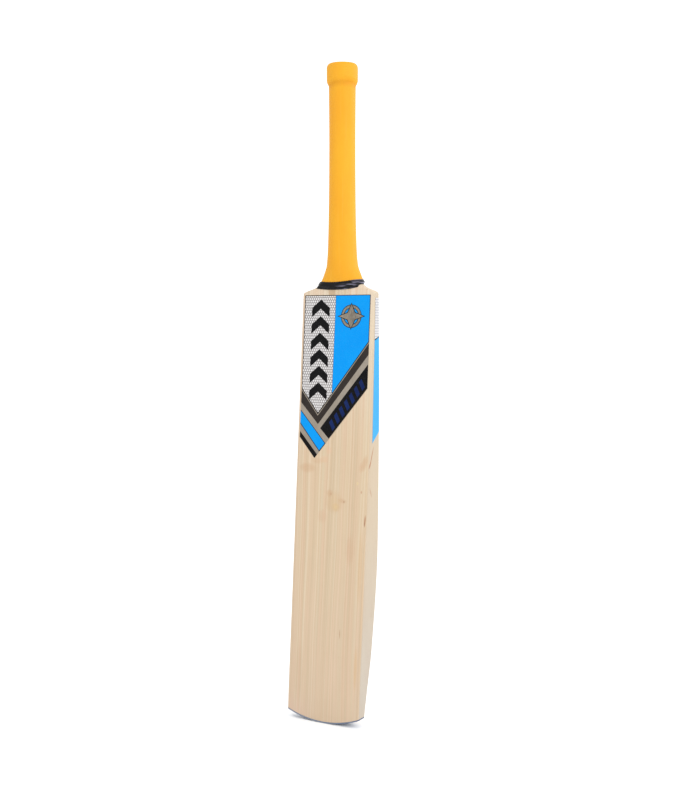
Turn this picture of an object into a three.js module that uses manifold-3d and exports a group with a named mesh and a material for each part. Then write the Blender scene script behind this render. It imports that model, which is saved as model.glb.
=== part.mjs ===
// A cricket bat: a willow blade with a spliced, cane-and-rubber laminated handle.
//
// The outer surface of all the wood is one envelope, from the toe to the end of the handle. A V-shaped
// splice divides it into the blade and the handle, and the handle divides again into twelve cane slips
// and three rubber spring strips. Twine, rubber grip, base tape and labels are skins laid over it.
//
// Millimetres, +Z from the toe to the handle's end, the blade's face towards -Y. Heights are measured
// from the toe, and the finished bat is then lowered so that the middle of its grip is at the origin.

import * as THREE from 'three';
import { mergeVertices } from 'three/addons/utils/BufferGeometryUtils.js';
import Module from 'manifold-3d';

const wasm = await Module();
wasm.setup();

// ---- Driving dimensions ----

const LENGTH = 852; // toe guard to the grip's top rim
const GRIP_RIM = 2.5; // how far the grip's rim stands past the cane's end
const HANDLE_TOP = LENGTH - GRIP_RIM;
const HOLD_HEIGHT = 710; // middle of the grip, where two hands hold the bat
const SHOULDER = 557; // height of the blade's two shoulder corners
const BLADE_HALF_WIDTH = 54;
const TOE_HALF_WIDTH = 53.5;
const TOE_RISE = 10.5; // how far the toe's corners sit above its lowest point
const TOE_GUARD = 1.6; // thickness of the rubber guard glued under the toe
const FACE_EDGE_RADIUS = 2.4; // rounding between face and side
const BACK_EDGE_RADIUS = 3; // rounding between side and back
const RIDGE_RADIUS = 6; // softness of the spine's ridge
const GLUE = 0.3; // gap between pieces that are cut from the same block

// The face leans back from the toe, with a slight bow: its depth below the shoulder.
const FACE_SETBACK = 10.4;
const FACE_LEAN = 0.0735;
const FACE_BOW = 0.0000055;

// [height, thickness] along the blade, at its sides and at its spine.
const EDGE_THICKNESS = [[0, 15.5], [45, 22], [95, 30], [205, 36.4], [290, 32.6], [420, 24], [557, 12.5]];
const SPINE_THICKNESS = [[0, 30], [40, 38.5], [90, 48], [150, 56], [215, 60], [300, 57], [400, 48], [557, 29]];

// [height, half width] of the wood from the shoulder corner up to the handle's end.
const NECK_HALF_WIDTH = [
  [554.5, 54], [556.6, 53.6], [557.6, 52.6], [559.5, 48.8], [562, 41.8], [565, 35.2], [568, 31.2],
  [571.5, 28.2], [581.7, 22.4], [593, 17.8], [613, 15.7], [700, 14], [750, 13.8], [HANDLE_TOP, 14.5],
];
const NECK_FRONT = [[SHOULDER, 10.4], [568, 12.4], [582, 14.4], [600, 15.9], [640, 14.8], [750, 13.8], [HANDLE_TOP, 14.5]];
const NECK_BACK = [[SHOULDER, 18.6], [582, 18], [600, 16.6], [640, 14.8], [750, 13.8], [HANDLE_TOP, 14.5]];
const NECK_START = 556; // sections change from blade to round handle between these heights
const NECK_END = 576;

// Splice: the handle's wedge, seen from the face.
const SPLICE_TIP = 400; // where the two sides of the V would meet
const SPLICE_BLUNT = 8; // the wedge's point is cut off this far above that
const SPLICE_SLOPE = 0.0931; // half width gained per millimetre of height
const SPLICE_TOP = 584; // above this the willow's two prongs end on a bevel
const BEVEL_HALF_WIDTH = 30;
const BEVEL_HEIGHT = 6;

// Handle laminations.
const COLUMN_SPLIT = 4.9; // joints between the three columns of cane, either side of the middle
const SPRING_PITCH = 8; // distance between the rubber spring strips
const SPRING_THICKNESS = 1.2;

// Coverings, as distances out from the wood.
const TWINE = { inner: 0.15, outer: 0.95, bottom: 577, top: HANDLE_TOP - 1 };
const GRIP_INNER = 1.2;
const COLLAR = { bottom: 823, middle: 827, top: 830.5 }; // where the grip swells into its end collar
const GRIP_OUTER = [
  [569, 2.1], [582, 2.8], [605, 3.2], [COLLAR.bottom, 3.2], [COLLAR.middle, 4.9], [COLLAR.top, 5.85],
  [HANDLE_TOP, 5.85],
];
const RIM_RADIUS = 3.7; // rounding of the grip's top rim, inwards
const RIM_DEPTH = 4.6; // and downwards
const RIM_LIP = 1.2; // the rim's flat top stands this far in from where its rounding starts
const TAPE_THICKNESS = 0.5;
const TAPE = { side: 566.6, dip: 5.7, top: 571.8, tilt: 0.05, clear: 0.3 };
const TAPE_STEP = { foot: 0.2, lip: 0.38, grip: 0.45, middle: 0.72 }; // as shares of the tape's height

// Labels: thin printed sheets just clear of the wood.
const LABEL_GAP = 0.12; // under the face label, on flat wood
const SHEET_GAP = 0.3; // under the labels that bend round the side and the back
const LABEL_THICKNESS = 0.2;
const LABEL_TOP = 554.2;
const FACE_LABEL = [[-50, LABEL_TOP], [-50.6, 367.8], [-26.9, 341], [48.2, 433.9], [48.2, LABEL_TOP]];
const EDGE_LABEL = { top: 550, front: 362.5, back: 379 };
const EDGE_LABEL_START = { low: 7.5, high: 6.9 }; // its front edge, as stations round the section
const BACK_LABEL = { top: 540, bottom: 392, slant: 26, first: 14, last: 18.5 };

// ---- Curves and sections ----

// Monotone cubic through [height, value] stations, so that it never overshoots them.
function through(stations, height) {
  const last = stations.length - 1;
  const z = THREE.MathUtils.clamp(height, stations[0][0], stations[last][0]);
  let i = 0;
  while (i < last - 1 && z > stations[i + 1][0]) i += 1;
  const rate = (k) => (stations[k + 1][1] - stations[k][1]) / (stations[k + 1][0] - stations[k][0]);
  const slope = (k) => {
    if (k === 0 || k === last) return rate(Math.min(k, last - 1));
    const [before, after] = [rate(k - 1), rate(k)];
    return before * after > 0 ? (2 * before * after) / (before + after) : 0;
  };
  const [z0, v0] = stations[i];
  const [z1, v1] = stations[i + 1];
  const t = (z - z0) / (z1 - z0);
  const ease = t * t * (3 - 2 * t);
  const lift = (z1 - z0) * t * (1 - t) * ((1 - t) * slope(i) - t * slope(i + 1));
  return v0 + (v1 - v0) * ease + lift;
}

function faceY(z) {
  const below = SHOULDER - z;
  return -(FACE_SETBACK + FACE_LEAN * below + FACE_BOW * below * Math.abs(below));
}

function halfWidth(z) {
  if (z > NECK_HALF_WIDTH[0][0]) return through(NECK_HALF_WIDTH, z);
  return through([[0, TOE_HALF_WIDTH], [60, BLADE_HALF_WIDTH], [500, BLADE_HALF_WIDTH]], z);
}

const FACE_STEPS = 4;
const CORNER_STEPS = 3;
const SIDE_STEPS = 2;
const BACK_STEPS = 8;
const SIDE_START = FACE_STEPS + CORNER_STEPS;
const BACK_START = SIDE_START + SIDE_STEPS + CORNER_STEPS;
const HALF_RING = BACK_START + BACK_STEPS;
const RING = 2 * HALF_RING;

function arc(points, x, y, radius, from, to, steps) {
  for (let i = 0; i < steps; i += 1) {
    const angle = THREE.MathUtils.lerp(from, to, i / steps);
    points.push(new THREE.Vector2(x + radius * Math.cos(angle), y + radius * Math.sin(angle)));
  }
}

// Half of the blade's section, from the middle of the face round the side to the middle of the back.
function bladeSection(z) {
  const half = halfWidth(z);
  const face = faceY(z);
  const edge = face + through(EDGE_THICKNESS, z);
  const spine = face + through(SPINE_THICKNESS, z);
  const flat = half - FACE_EDGE_RADIUS;
  const shelf = half - BACK_EDGE_RADIUS;
  const points = [];
  for (let i = 0; i < FACE_STEPS; i += 1) points.push(new THREE.Vector2((flat * i) / FACE_STEPS, face));
  arc(points, flat, face + FACE_EDGE_RADIUS, FACE_EDGE_RADIUS, -Math.PI / 2, 0, CORNER_STEPS);
  const sideLength = edge - face - FACE_EDGE_RADIUS - BACK_EDGE_RADIUS;
  for (let i = 0; i < SIDE_STEPS; i += 1) {
    points.push(new THREE.Vector2(half, face + FACE_EDGE_RADIUS + (sideLength * i) / SIDE_STEPS));
  }
  arc(points, shelf, edge - BACK_EDGE_RADIUS, BACK_EDGE_RADIUS, 0, Math.PI / 2, CORNER_STEPS);
  const soften = (x) => Math.hypot(x, RIDGE_RADIUS) - RIDGE_RADIUS;
  for (let i = 0; i <= BACK_STEPS; i += 1) {
    const x = shelf * (1 - i / BACK_STEPS);
    const rise = 1 - soften(x) / soften(shelf);
    const hollow = 0.55 * rise * rise * (3 - 2 * rise) + 0.45 * rise * rise;
    points.push(new THREE.Vector2(x, THREE.MathUtils.lerp(edge, spine, hollow)));
  }
  return points;
}

// Half of a handle section: an ellipse in front of and behind the handle's axis.
function neckSection(z) {
  const half = halfWidth(z);
  const points = [];
  for (let i = 0; i <= HALF_RING; i += 1) {
    const angle = THREE.MathUtils.lerp(-Math.PI / 2, Math.PI / 2, i / HALF_RING);
    const depth = through(angle < 0 ? NECK_FRONT : NECK_BACK, z);
    points.push(new THREE.Vector2(half * Math.cos(angle), depth * Math.sin(angle)));
  }
  return points;
}

function halfSection(z) {
  if (z <= NECK_START) return bladeSection(z);
  if (z >= NECK_END) return neckSection(z);
  const share = THREE.MathUtils.smoothstep(z, NECK_START, NECK_END);
  const neck = neckSection(z);
  return bladeSection(z).map((point, i) => point.lerp(neck[i], share));
}

// A point on the wood's surface: station runs round the section, from the face's middle through +X.
function surfacePoint(station, z) {
  const turned = ((station % RING) + RING) % RING;
  const folded = turned > HALF_RING ? RING - turned : turned;
  const first = Math.min(Math.floor(folded), HALF_RING - 1);
  const points = halfSection(z);
  const point = points[first].clone().lerp(points[first + 1], folded - first);
  return new THREE.Vector3(turned > HALF_RING ? -point.x : point.x, point.y, z);
}

function offsetPoint(station, z, distance) {
  const around = surfacePoint(station + 0.5, z).sub(surfacePoint(station - 0.5, z));
  const upward = surfacePoint(station, z + 0.5).sub(surfacePoint(station, z - 0.5));
  return around.cross(upward).setLength(distance).add(surfacePoint(station, z));
}

function steps(from, to, count) {
  return Array.from({ length: count + 1 }, (_, i) => THREE.MathUtils.lerp(from, to, i / count));
}

// ---- Solids ----

// Joins closed loops of points into a solid. Open runs end in a fan cap, or in a ladder cap on a thin strip.
function loft(loops, { closed = false, cap = 'fan' } = {}) {
  const size = loops[0].length;
  const positions = loops.flat().flatMap((point) => point.toArray());
  const index = [];
  const quad = (a, b, c, d) => index.push(a, b, c, a, c, d);
  for (let i = 0; i < loops.length - (closed ? 0 : 1); i += 1) {
    const [low, high] = [i * size, ((i + 1) % loops.length) * size];
    for (let j = 0; j < size; j += 1) {
      const next = (j + 1) % size;
      quad(low + j, low + next, high + next, high + j);
    }
  }
  if (!closed) {
    const top = (loops.length - 1) * size;
    if (cap === 'ladder') {
      for (let j = 0; j < size / 2 - 1; j += 1) {
        quad(j, size - 1 - j, size - 2 - j, j + 1);
        quad(top + j, top + j + 1, top + size - 2 - j, top + size - 1 - j);
      }
    } else {
      for (let j = 1; j < size - 1; j += 1) {
        index.push(0, j + 1, j, top, top + j, top + j + 1);
      }
    }
  }
  const geometry = new THREE.BufferGeometry();
  geometry.setAttribute('position', new THREE.Float32BufferAttribute(positions, 3));
  geometry.setIndex(index);
  return facingOut(geometry);
}

function signedVolume(geometry) {
  const position = geometry.getAttribute('position');
  const index = geometry.getIndex().array;
  const corners = [new THREE.Vector3(), new THREE.Vector3(), new THREE.Vector3()];
  let total = 0;
  for (let i = 0; i < index.length; i += 3) {
    corners.forEach((corner, k) => corner.fromBufferAttribute(position, index[i + k]));
    total += corners[0].dot(corners[1].cross(corners[2])) / 6;
  }
  return total;
}

function facingOut(geometry) {
  if (signedVolume(geometry) < 0) geometry.getIndex().array.reverse();
  return geometry;
}

function toSolid(geometry) {
  const bare = geometry.clone();
  bare.deleteAttribute('normal');
  bare.deleteAttribute('uv');
  const merged = mergeVertices(bare, 1e-5);
  const vertProperties = new Float32Array(merged.getAttribute('position').array);
  const triVerts = new Uint32Array(merged.getIndex().array);
  return new wasm.Manifold(new wasm.Mesh({ numProp: 3, vertProperties, triVerts }));
}

function toGeometry(solid) {
  const mesh = solid.getMesh();
  const geometry = new THREE.BufferGeometry();
  geometry.setAttribute('position', new THREE.BufferAttribute(new Float32Array(mesh.vertProperties), 3));
  geometry.setIndex(new THREE.BufferAttribute(new Uint32Array(mesh.triVerts), 1));
  geometry.computeVertexNormals();
  return geometry;
}

function block(low, high) {
  const size = high.map((value, i) => value - low[i]);
  const middle = high.map((value, i) => (value + low[i]) / 2);
  return toSolid(new THREE.BoxGeometry(...size).translate(...middle));
}

// A flat outline in X and Z, extruded right through the bat along Y.
const REACH = 90;
function throughPrism(shape, curveSegments = 12) {
  const options = { depth: 2 * REACH, bevelEnabled: false, curveSegments };
  return toSolid(new THREE.ExtrudeGeometry(shape, options).rotateX(Math.PI / 2).translate(0, REACH, 0));
}

function outline(points) {
  return new THREE.Shape(points.map(([x, z]) => new THREE.Vector2(x, z)));
}

// Everything under the toe's arc, raised by a distance.
function belowToe(raised) {
  const radius = (TOE_HALF_WIDTH ** 2 + TOE_RISE ** 2) / (2 * TOE_RISE);
  const reach = Math.asin((TOE_HALF_WIDTH + 12) / radius);
  const shape = new THREE.Shape();
  shape.absarc(0, radius + raised, radius, -Math.PI / 2 - reach, -Math.PI / 2 + reach, false);
  shape.lineTo(REACH, -REACH);
  shape.lineTo(-REACH, -REACH);
  return throughPrism(shape, 28);
}

// The V of the splice with everything above it, wider by a clearance on all sides.
function handleRegion(clearance) {
  const blunt = SPLICE_BLUNT * SPLICE_SLOPE + clearance;
  const top = (SPLICE_TOP - SPLICE_TIP) * SPLICE_SLOPE + clearance;
  const right = [
    [blunt, SPLICE_TIP + SPLICE_BLUNT - clearance],
    [top, SPLICE_TOP - clearance],
    [BEVEL_HALF_WIDTH, SPLICE_TOP + BEVEL_HEIGHT - clearance],
    [BEVEL_HALF_WIDTH, LENGTH + REACH],
  ];
  const left = right.map(([x, z]) => [-x, z]).reverse();
  return throughPrism(outline([...right, ...left]));
}

// All the wood, from below the toe's arc to the handle's end.
function woodEnvelope() {
  const heights = [
    -15, ...steps(0, 60, 3), ...steps(90, 510, 12), 540,
    ...NECK_HALF_WIDTH.slice(0, 8).map(([z]) => z),
    576.5, 581.7, 587, 593, 602, 613, 632, 660, 700, 750, 800, HANDLE_TOP,
  ];
  const ring = steps(0, RING - 1, RING - 1);
  return toSolid(loft(heights.map((z) => ring.map((station) => surfacePoint(station, z)))));
}

// A sleeve right round the wood. rows gives, at each station, points [height, distance] of a closed profile.
function sleeve(rows) {
  const loops = steps(0, RING - 1, RING - 1).map((station) =>
    rows(station).map(([z, distance]) => offsetPoint(station, z, distance)));
  return loft(loops, { closed: true });
}

// A thin sheet over part of the wood: bounds gives its lowest and highest point at each station.
function sheet(stations, bounds, rowCount) {
  const side = (t, distance) => stations(t).map((station) => {
    const [low, high] = bounds(station);
    return offsetPoint(station, THREE.MathUtils.lerp(low, high, t), distance);
  });
  const loops = steps(0, 1, rowCount).map((t) =>
    [...side(t, SHEET_GAP + LABEL_THICKNESS), ...side(t, SHEET_GAP).reverse()]);
  return loft(loops, { cap: 'ladder' });
}

// ---- Materials ----

function surface(color, roughness, metalness = 0) {
  return new THREE.MeshStandardMaterial({ color, roughness, metalness });
}

const willow = surface(0xe6cda9, 0.55);
const cane = surface(0xd9b57c, 0.5);
const springRubber = surface(0x2b2723, 0.8);
const twineBlack = surface(0x33302c, 0.85);
const orangeRubber = surface(0xfcb634, 0.62);
const glossTape = surface(0x141416, 0.18);
const guardRubber = surface(0x6d7480, 0.6);
const printedFilm = surface(0x1ba7fa, 0.3);
const foilFilm = surface(0xa59b8c, 0.35, 0.3);

const bat = new THREE.Group();

function addPiece(name, geometry, material) {
  const piece = new THREE.Mesh(geometry, material);
  piece.name = name;
  bat.add(piece);
}

// ---- Blade, toe guard and handle ----

const wood = woodEnvelope();
const aboveToe = wood.subtract(belowToe(TOE_GUARD + GLUE));
addPiece('blade', toGeometry(aboveToe.subtract(handleRegion(GLUE))), willow);

const guard = wood.intersect(belowToe(TOE_GUARD)).subtract(belowToe(0));
addPiece('toe_guard', toGeometry(guard), guardRubber);

const handle = wood.intersect(handleRegion(0));
const springGap = SPRING_THICKNESS / 2 + GLUE;
const columns = [
  ['left', -REACH, -COLUMN_SPLIT - GLUE / 2],
  ['centre', -COLUMN_SPLIT + GLUE / 2, COLUMN_SPLIT - GLUE / 2],
  ['right', COLUMN_SPLIT + GLUE / 2, REACH],
];
const rows = [
  ['front', -REACH, -SPRING_PITCH - springGap],
  ['inner_front', -SPRING_PITCH + springGap, -springGap],
  ['inner_back', springGap, SPRING_PITCH - springGap],
  ['back', SPRING_PITCH + springGap, REACH],
];
for (const [rowName, rowFrom, rowTo] of rows) {
  for (const [columnName, columnFrom, columnTo] of columns) {
    const cell = block([columnFrom, rowFrom, 0], [columnTo, rowTo, LENGTH]);
    addPiece(`cane_${rowName}_${columnName}`, toGeometry(handle.intersect(cell)), cane);
  }
}

const springs = [['front', -SPRING_PITCH], ['middle', 0], ['back', SPRING_PITCH]];
for (const [name, y] of springs) {
  const half = SPRING_THICKNESS / 2;
  const strip = block([-REACH, y - half, 0], [REACH, y + half, LENGTH]);
  addPiece(`spring_strip_${name}`, toGeometry(handle.intersect(strip)), springRubber);
}

// ---- Twine, grip and base tape ----

// Closest together where the handle swells into the blade.
const sleeveHeights = [TWINE.bottom, 582, 588, 595, 605, 620, 650, 700, 750, 800];

function twineProfile() {
  const heights = [...sleeveHeights, TWINE.top];
  const outer = heights.map((z) => [z, TWINE.outer]);
  const inner = heights.map((z) => [z, TWINE.inner]).reverse();
  return [...outer, ...inner];
}
addPiece('twine_binding', sleeve(twineProfile), twineBlack);

// The tape's lower edge dips on the face and the back and rises over the shoulders.
function tapeHeight(station, share) {
  const point = surfacePoint(station, NECK_END);
  const round = through(point.y < 0 ? NECK_FRONT : NECK_BACK, NECK_END);
  const low = TAPE.side - TAPE.dip * Math.abs(point.y / round) ** 3;
  return THREE.MathUtils.lerp(low, TAPE.top, share) + TAPE.tilt * point.x;
}

function gripProfile(station) {
  const underTape = [TAPE_STEP.grip, TAPE_STEP.middle, 1].map((share) => tapeHeight(station, share));
  const heights = [...underTape, ...sleeveHeights, COLLAR.bottom, COLLAR.middle, COLLAR.top];
  const outer = heights.map((z) => [z, through(GRIP_OUTER, z)]);
  const full = through(GRIP_OUTER, HANDLE_TOP);
  const rim = steps(0, 1, 4).map((t) => {
    const angle = (t * Math.PI) / 2;
    return [LENGTH - RIM_DEPTH * (1 - Math.sin(angle)), full - RIM_RADIUS * (1 - Math.cos(angle))];
  });
  const lip = [[LENGTH, full - RIM_RADIUS - RIM_LIP / 2], [LENGTH - RIM_LIP, GRIP_INNER]];
  const inner = [...underTape, ...sleeveHeights].map((z) => [z, GRIP_INNER]).reverse();
  return [...outer, ...rim, ...lip, ...inner];
}
addPiece('rubber_grip', sleeve(gripProfile), orangeRubber);

// The tape starts on the wood and climbs onto the end of the grip.
function tapeProfile(station) {
  const onGrip = through(GRIP_OUTER, TAPE.top) + TAPE.clear;
  const climb = [
    [0, GLUE], [TAPE_STEP.foot, GLUE + TAPE_THICKNESS],
    [TAPE_STEP.lip, onGrip], [TAPE_STEP.middle, onGrip], [1, onGrip],
  ];
  const under = climb.map(([share, distance]) => [tapeHeight(station, share), distance]);
  const over = under.map(([z, distance]) => [z, distance + TAPE_THICKNESS]).reverse();
  return [...under, ...over];
}
addPiece('base_tape', sleeve(tapeProfile), glossTape);

// ---- Labels ----

function faceLabel() {
  const options = { depth: LABEL_THICKNESS, bevelEnabled: false };
  const geometry = new THREE.ExtrudeGeometry(outline(FACE_LABEL), options).rotateX(Math.PI / 2);
  const position = geometry.getAttribute('position');
  for (let i = 0; i < position.count; i += 1) {
    position.setY(i, position.getY(i) + faceY(position.getZ(i)) - LABEL_GAP);
  }
  return toGeometry(toSolid(geometry));
}
addPiece('face_label', faceLabel(), foilFilm);

const mirrored = (station) => RING - station;
for (const [side, place] of [['right', (station) => station], ['left', mirrored]]) {
  const sideEnd = SIDE_START + SIDE_STEPS;
  const edgeStations = (t) => {
    const first = THREE.MathUtils.lerp(EDGE_LABEL_START.low, EDGE_LABEL_START.high, t);
    return [first, SIDE_START + 1, ...steps(sideEnd, BACK_START, CORNER_STEPS)].map(place);
  };
  const edgeBounds = (station) => {
    const share = (Math.min(station, RING - station) - SIDE_START) / (BACK_START - SIDE_START);
    return [THREE.MathUtils.lerp(EDGE_LABEL.front, EDGE_LABEL.back, share), EDGE_LABEL.top];
  };
  addPiece(`edge_label_${side}`, sheet(edgeStations, edgeBounds, 8), printedFilm);

  const backStations = () => steps(BACK_LABEL.first, BACK_LABEL.last, 5).map(place);
  const backBounds = (station) => {
    const inward = Math.min(station, RING - station) - BACK_LABEL.first;
    const share = inward / (BACK_LABEL.last - BACK_LABEL.first);
    return [BACK_LABEL.bottom - BACK_LABEL.slant * share, BACK_LABEL.top];
  };
  addPiece(`back_label_${side}`, sheet(backStations, backBounds, 8), printedFilm);
}

// ---- Origin: on the handle's axis, in the middle of the grip ----

bat.position.z = -HOLD_HEIGHT;

export default bat;
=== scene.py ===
"""Looks of the cricket bat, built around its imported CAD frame.

Shapes are worked out in millimetres, with heights measured up from the toe as in the CAD, and turned
into metres in the row frame when a mesh is made. The wood, grip, tape and labels are finer versions
of their CAD solids; the inner cane, the spring strips and the twine are the CAD nodes themselves.
"""

import math

import bmesh
import bpy
import numpy as np
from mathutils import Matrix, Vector


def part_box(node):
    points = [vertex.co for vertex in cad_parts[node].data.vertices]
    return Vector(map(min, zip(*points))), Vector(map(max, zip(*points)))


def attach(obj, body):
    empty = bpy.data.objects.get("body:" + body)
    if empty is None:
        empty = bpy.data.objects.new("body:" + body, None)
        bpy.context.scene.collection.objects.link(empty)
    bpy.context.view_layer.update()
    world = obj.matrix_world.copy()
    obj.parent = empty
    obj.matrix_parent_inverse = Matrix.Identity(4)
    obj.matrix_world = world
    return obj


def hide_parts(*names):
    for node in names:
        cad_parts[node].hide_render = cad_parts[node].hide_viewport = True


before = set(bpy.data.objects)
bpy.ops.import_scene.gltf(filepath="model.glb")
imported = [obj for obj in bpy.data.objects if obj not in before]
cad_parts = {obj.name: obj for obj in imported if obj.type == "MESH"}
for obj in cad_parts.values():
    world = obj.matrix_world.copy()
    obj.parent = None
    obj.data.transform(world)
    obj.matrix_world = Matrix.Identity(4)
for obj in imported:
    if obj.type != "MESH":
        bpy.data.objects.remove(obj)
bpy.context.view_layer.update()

TOE_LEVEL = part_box("toe_guard")[0].z  # metres: the row frame's height of the toe's lowest point

# ---- Dimensions, as in the CAD, in millimetres ----

LENGTH = 852
HANDLE_TOP = 849.5
SHOULDER = 557
BLADE_HALF_WIDTH = 54
TOE_HALF_WIDTH = 53.5
TOE_RISE = 10.5
TOE_GUARD = 1.6
FACE_EDGE_RADIUS = 2.4
BACK_EDGE_RADIUS = 3
RIDGE_RADIUS = 6
REACH = 90  # past the bat on every side, for the shapes that cut it
GLUE_LINE = 0.1  # finer than the 0.3 mm that the CAD leaves

FACE_DEPTH = 10.4  # the face is this far in front of the handle's axis at the shoulder
FACE_LEAN = 0.0735  # and this much further for each millimetre down
FACE_BOW = 0.0000055
EDGE_THICKNESS = [(0, 15.5), (45, 22), (95, 30), (205, 36.4), (290, 32.6), (420, 24), (557, 12.5)]
SPINE_THICKNESS = [
    (0, 30), (40, 38.5), (90, 48), (150, 56), (215, 60), (300, 57), (400, 48), (557, 29),
]
BLADE_WIDTHS = [(0, TOE_HALF_WIDTH), (60, BLADE_HALF_WIDTH), (500, BLADE_HALF_WIDTH)]
NECK_HALF_WIDTH = [
    (554.5, 54), (556.6, 53.6), (557.6, 52.6), (559.5, 48.8), (562, 41.8), (565, 35.2), (568, 31.2),
    (571.5, 28.2), (581.7, 22.4), (593, 17.8), (613, 15.7), (700, 14), (750, 13.8), (HANDLE_TOP, 14.5),
]
NECK_FRONT = [
    (SHOULDER, FACE_DEPTH), (568, 12.4), (582, 14.4), (600, 15.9), (640, 14.8), (750, 13.8),
    (HANDLE_TOP, 14.5),
]
NECK_BACK = [(SHOULDER, 18.6), (582, 18), (600, 16.6), (640, 14.8), (750, 13.8), (HANDLE_TOP, 14.5)]
NECK_START = 556
NECK_END = 576

SPLICE_TIP = 400
SPLICE_BLUNT = 8
SPLICE_SLOPE = 0.0931
SPLICE_TOP = 584
BEVEL_HALF_WIDTH = 30
BEVEL_HEIGHT = 6
COLUMN_SPLIT = 4.9
SPRING_EDGE = 8.6

GRIP_INNER = 1.2
GRIP_OUTER = [
    (569, 2.1), (582, 2.8), (605, 3.2), (823, 3.2), (827, 4.9), (830.5, 5.85), (HANDLE_TOP, 5.85),
]
RIM_RADIUS = 3.7
RIM_DEPTH = 6.4  # rounder than the CAD's 4.6
COLLAR_LIFT = 3.6  # the collar's lower edge is this much higher at the front right than elsewhere
LIFT_TOWARDS = (0.55, -0.835)
COLLAR_RADIUS = 17
TAPE_SIDE = 566.6
TAPE_DIP = 5.7
TAPE_TOP = 571.8
TAPE_TILT = 0.05
TAPE_TURNS = 2.2
TAPE_LAP = 0.28

# ---- Curves and sections ----


def through(stations, z):
    """Monotone cubic through (height, value) stations, at every height in the array z."""
    knots, values = np.array(stations, float).T
    rate = np.diff(values) / np.diff(knots)
    before, after = rate[:-1], rate[1:]
    same_way = before * after > 0
    harmonic = np.where(same_way, 2 * before * after / np.where(same_way, before + after, 1), 0)
    slope = np.concatenate([rate[:1], harmonic, rate[-1:]])
    z = np.clip(z, knots[0], knots[-1])
    i = np.clip(np.searchsorted(knots, z) - 1, 0, len(rate) - 1)
    span = knots[i + 1] - knots[i]
    t = (z - knots[i]) / span
    lift = span * t * (1 - t) * ((1 - t) * slope[i] - t * slope[i + 1])
    return values[i] + (values[i + 1] - values[i]) * t * t * (3 - 2 * t) + lift


def face_y(z):
    below = SHOULDER - z
    return -(FACE_DEPTH + FACE_LEAN * below + FACE_BOW * below * np.abs(below))


FINE = 3  # times the CAD's steps round a section
FACE_STEPS, CORNER_STEPS, SIDE_STEPS, BACK_STEPS = (FINE * n for n in (4, 3, 2, 8))
SIDE_START = FACE_STEPS + CORNER_STEPS
BACK_START = SIDE_START + SIDE_STEPS + CORNER_STEPS
HALF_RING = BACK_START + BACK_STEPS
RING = 2 * HALF_RING


def back_y(x, z):
    """The back's surface: hollow either side of a softly rounded spine."""
    shelf = blade_half_width(z) - BACK_EDGE_RADIUS
    edge = face_y(z) + through(EDGE_THICKNESS, z)
    spine = face_y(z) + through(SPINE_THICKNESS, z)
    soften = lambda across: np.hypot(across, RIDGE_RADIUS) - RIDGE_RADIUS
    rise = 1 - soften(x) / soften(shelf)
    hollow = 0.55 * rise**2 * (3 - 2 * rise) + 0.45 * rise**2
    return edge + (spine - edge) * hollow


def blade_half_width(z):
    return np.where(z > NECK_HALF_WIDTH[0][0], through(NECK_HALF_WIDTH, z), through(BLADE_WIDTHS, z))


def blade_sections(z):
    """Half outlines of the blade at heights z, from the middle of the face round to the spine."""
    half, face = blade_half_width(z), face_y(z)
    edge = face + through(EDGE_THICKNESS, z)
    flat, shelf = half - FACE_EDGE_RADIUS, half - BACK_EDGE_RADIUS
    columns = [(flat * i / FACE_STEPS, face) for i in range(FACE_STEPS)]
    for i in range(CORNER_STEPS):
        angle = -math.pi / 2 + math.pi / 2 * i / CORNER_STEPS
        columns.append((
            flat + FACE_EDGE_RADIUS * math.cos(angle),
            face + FACE_EDGE_RADIUS + FACE_EDGE_RADIUS * math.sin(angle),
        ))
    side_length = edge - face - FACE_EDGE_RADIUS - BACK_EDGE_RADIUS
    for i in range(SIDE_STEPS):
        columns.append((half, face + FACE_EDGE_RADIUS + side_length * i / SIDE_STEPS))
    for i in range(CORNER_STEPS):
        angle = math.pi / 2 * i / CORNER_STEPS
        columns.append((
            shelf + BACK_EDGE_RADIUS * math.cos(angle),
            edge - BACK_EDGE_RADIUS + BACK_EDGE_RADIUS * math.sin(angle),
        ))
    for i in range(BACK_STEPS + 1):
        x = shelf * (1 - i / BACK_STEPS)
        columns.append((x, back_y(x, z)))
    return np.stack([np.stack(np.broadcast_arrays(x, y), -1) for x, y in columns], 1)


def neck_sections(z):
    half, columns = blade_half_width(z), []
    for i in range(HALF_RING + 1):
        angle = -math.pi / 2 + math.pi * i / HALF_RING
        depth = through(NECK_FRONT if angle < 0 else NECK_BACK, z)
        columns.append(np.stack([half * math.cos(angle), depth * math.sin(angle)], -1))
    return np.stack(columns, 1)


def half_sections(z):
    z = np.asarray(z, float)
    share = np.clip((z - NECK_START) / (NECK_END - NECK_START), 0, 1)
    share = (share**2 * (3 - 2 * share))[:, None, None]
    return blade_sections(z) * (1 - share) + neck_sections(z) * share


def surface(station, z):
    """Points on the wood: station runs round the section, from the face's middle through +X."""
    station, z = (np.asarray(a, float).ravel() for a in np.broadcast_arrays(station, z))
    turned = np.mod(station, RING)
    folded = np.where(turned > HALF_RING, RING - turned, turned)
    first = np.minimum(folded.astype(int), HALF_RING - 1)
    heights, where = np.unique(z, return_inverse=True)
    sections = half_sections(heights)
    low, high = sections[where, first], sections[where, first + 1]
    flat = low + (high - low) * (folded - first)[:, None]
    x = np.where(turned > HALF_RING, -flat[:, 0], flat[:, 0])
    return np.stack([x, flat[:, 1], z], -1)


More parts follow.
